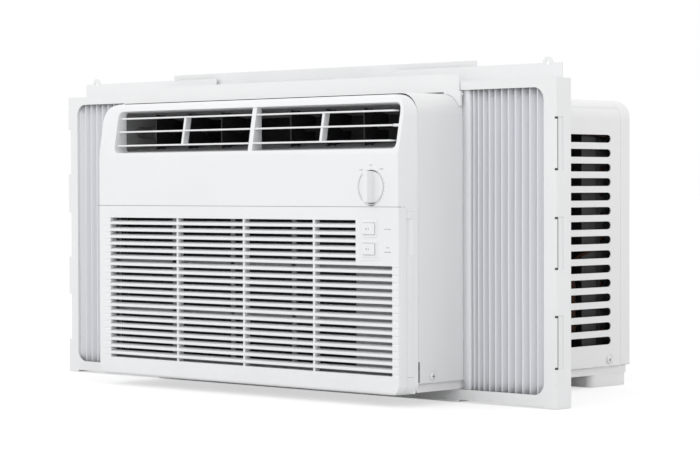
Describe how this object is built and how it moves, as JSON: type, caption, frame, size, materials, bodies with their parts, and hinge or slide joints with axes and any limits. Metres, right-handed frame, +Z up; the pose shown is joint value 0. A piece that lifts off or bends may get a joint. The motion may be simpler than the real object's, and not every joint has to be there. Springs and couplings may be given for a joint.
{
  "type": "window air conditioner",
  "caption": "Window air conditioner: louvred cabinet, front panel with inlet grille, adjustable outlet vanes, dial, rocker switches, fan and compressor, with sliding pleated side curtains.",
  "frame": {"origin": "middle of the lower window guide's underside, which rests on the window sill", "axes": "+X to the right as seen from the room, +Y out of the window, +Z up"},
  "size_m": [0.726, 0.3835, 0.3428],
  "materials": {
    "white_plastic": "semi-gloss moulded white",
    "frame_plastic": "satin moulded white",
    "curtain_vinyl": "satin pleated vinyl",
    "painted_steel": "white powder coat, fine grain",
    "dark_plastic": "matt dark grey",
    "black_plastic": "matt black",
    "foam": "expanded bead foam",
    "zinc_steel": "zinc plated, satin",
    "aluminium_fins": "finned aluminium",
    "copper_tube": "bare drawn copper",
    "black_paint": "black stoved paint",
    "rubber": "matt moulded rubber",
    "filter_net": "fine moulded net"
  },
  "bodies": {
    "cabinet": {"base_pan": "painted_steel", "drain_cap": "rubber", "cabinet_cover": "painted_steel", "cord_gland": "rubber", "rear_frame": "painted_steel", "front_panel": "white_plastic", "inlet_grille": "white_plastic", "outlet_duct": "dark_plastic", "switch_pack": "white_plastic", "control_box": "zinc_steel", "thermostat": "black_plastic", "run_capacitor": "aluminium_fins", "evaporator_coil": "aluminium_fins", "condensate_tray": "foam", "blower_scroll": "black_plastic", "partition_wall": "zinc_steel", "fan_motor": "black_paint", "motor_bracket": "zinc_steel", "fan_shroud": "black_plastic", "condenser_coil": "aluminium_fins", "compressor": "black_paint", "terminal_cover": "black_plastic", "accumulator": "black_paint", "discharge_tube": "copper_tube", "suction_tube": "copper_tube", "capillary_tube": "copper_tube", "filter_drier": "copper_tube", "liquid_line": "copper_tube", "upper_guide": "frame_plastic", "lower_guide": "frame_plastic", "left_curtain": "curtain_vinyl", "right_curtain": "curtain_vinyl", "compressor_grommet_1": "rubber", "compressor_grommet_2": "rubber", "compressor_grommet_3": "rubber", "cover_screw_front_left": "painted_steel", "cover_screw_rear_left": "painted_steel", "guide_screw_left": "zinc_steel", "cover_screw_front_right": "painted_steel", "cover_screw_rear_right": "painted_steel", "guide_screw_right": "zinc_steel"},
    "louvre_bank_left": {"louvre_bank_left": "white_plastic"},
    "louvre_bank_right": {"louvre_bank_right": "white_plastic"},
    "thermostat_dial": {"thermostat_dial": "white_plastic"},
    "power_rocker": {"power_rocker": "white_plastic"},
    "mode_rocker": {"mode_rocker": "white_plastic"},
    "air_filter": {"air_filter": "filter_net"},
    "rotor": {"fan_shaft": "zinc_steel", "blower_wheel": "black_plastic", "condenser_fan": "black_plastic"},
    "left_curtain_frame": {"left_curtain_frame": "frame_plastic"},
    "right_curtain_frame": {"right_curtain_frame": "frame_plastic"},
    "vane_left_1": {"vane_left_1": "black_plastic"},
    "vane_left_2": {"vane_left_2": "black_plastic"},
    "vane_left_3": {"vane_left_3": "black_plastic"},
    "vane_link_left": {"vane_link_left": "black_plastic"},
    "vane_right_1": {"vane_right_1": "black_plastic"},
    "vane_right_2": {"vane_right_2": "black_plastic"},
    "vane_right_3": {"vane_right_3": "black_plastic"},
    "vane_link_right": {"vane_link_right": "black_plastic"}
  },
  "joints": [
    {"name": "rotor_spin", "type": "hinge", "parent": "cabinet", "child": "rotor", "pos_m": [-0.015, 0.1, 0.1515], "axis": [0, 1, 0], "continuous": true},
    {"name": "louvre_left_tilt", "type": "hinge", "parent": "cabinet", "child": "louvre_bank_left", "pos_m": [-0.092, -0.0899, 0.276], "axis": [1, 0, 0], "range_deg": [-20, 20]},
    {"name": "louvre_right_tilt", "type": "hinge", "parent": "cabinet", "child": "louvre_bank_right", "pos_m": [0.112, -0.0899, 0.276], "axis": [1, 0, 0], "range_deg": [-20, 20]},
    {"name": "vane_link_left_slide", "type": "slide", "parent": "cabinet", "child": "vane_link_left", "axis": [1, 0, 0], "range_m": [-0.00748, 0.00748]},
    {"name": "vane_left_1_turn", "type": "hinge", "parent": "cabinet", "child": "vane_left_1", "pos_m": [-0.0514, -0.064, 0.276], "axis": [0, 0, 1], "range_deg": [-30, 30]},
    {"name": "vane_left_2_turn", "type": "hinge", "parent": "cabinet", "child": "vane_left_2", "pos_m": [-0.1028, -0.064, 0.276], "axis": [0, 0, 1], "range_deg": [-30, 30]},
    {"name": "vane_left_3_turn", "type": "hinge", "parent": "cabinet", "child": "vane_left_3", "pos_m": [-0.1542, -0.064, 0.276], "axis": [0, 0, 1], "range_deg": [-30, 30]},
    {"name": "vane_link_right_slide", "type": "slide", "parent": "cabinet", "child": "vane_link_right", "axis": [1, 0, 0], "range_m": [-0.00748, 0.00748]},
    {"name": "vane_right_1_turn", "type": "hinge", "parent": "cabinet", "child": "vane_right_1", "pos_m": [0.0514, -0.064, 0.276], "axis": [0, 0, 1], "range_deg": [-30, 30]},
    {"name": "vane_right_2_turn", "type": "hinge", "parent": "cabinet", "child": "vane_right_2", "pos_m": [0.1028, -0.064, 0.276], "axis": [0, 0, 1], "range_deg": [-30, 30]},
    {"name": "vane_right_3_turn", "type": "hinge", "parent": "cabinet", "child": "vane_right_3", "pos_m": [0.1542, -0.064, 0.276], "axis": [0, 0, 1], "range_deg": [-30, 30]},
    {"name": "dial_turn", "type": "hinge", "parent": "cabinet", "child": "thermostat_dial", "pos_m": [0.1855, -0.1, 0.2155], "axis": [0, 1, 0], "range_deg": [-150, 150]},
    {"name": "power_rocker_tilt", "type": "hinge", "parent": "cabinet", "child": "power_rocker", "pos_m": [0.1828, -0.1, 0.1744], "axis": [0, 0, 1], "range_deg": [-14, 0]},
    {"name": "mode_rocker_tilt", "type": "hinge", "parent": "cabinet", "child": "mode_rocker", "pos_m": [0.1828, -0.1, 0.1544], "axis": [0, 0, 1], "range_deg": [-14, 0]},
    {"name": "filter_slide", "type": "slide", "parent": "cabinet", "child": "air_filter", "axis": [1, 0, 0], "range_m": [0, 0.4]},
    {"name": "left_curtain_slide", "type": "slide", "parent": "cabinet", "child": "left_curtain_frame", "axis": [-1, 0, 0], "range_m": [-0.1, 0.077], "deforming": ["left_curtain"]},
    {"name": "right_curtain_slide", "type": "slide", "parent": "cabinet", "child": "right_curtain_frame", "axis": [1, 0, 0], "range_m": [-0.066, 0.111], "deforming": ["right_curtain"]}
  ],
  "couplings": [
    {"joint": "vane_left_1_turn", "follows": "vane_link_left_slide", "rad_per_m": -69.93},
    {"joint": "vane_left_2_turn", "follows": "vane_link_left_slide", "rad_per_m": -69.93},
    {"joint": "vane_left_3_turn", "follows": "vane_link_left_slide", "rad_per_m": -69.93},
    {"joint": "vane_right_1_turn", "follows": "vane_link_right_slide", "rad_per_m": -69.93},
    {"joint": "vane_right_2_turn", "follows": "vane_link_right_slide", "rad_per_m": -69.93},
    {"joint": "vane_right_3_turn", "follows": "vane_link_right_slide", "rad_per_m": -69.93}
  ]
}
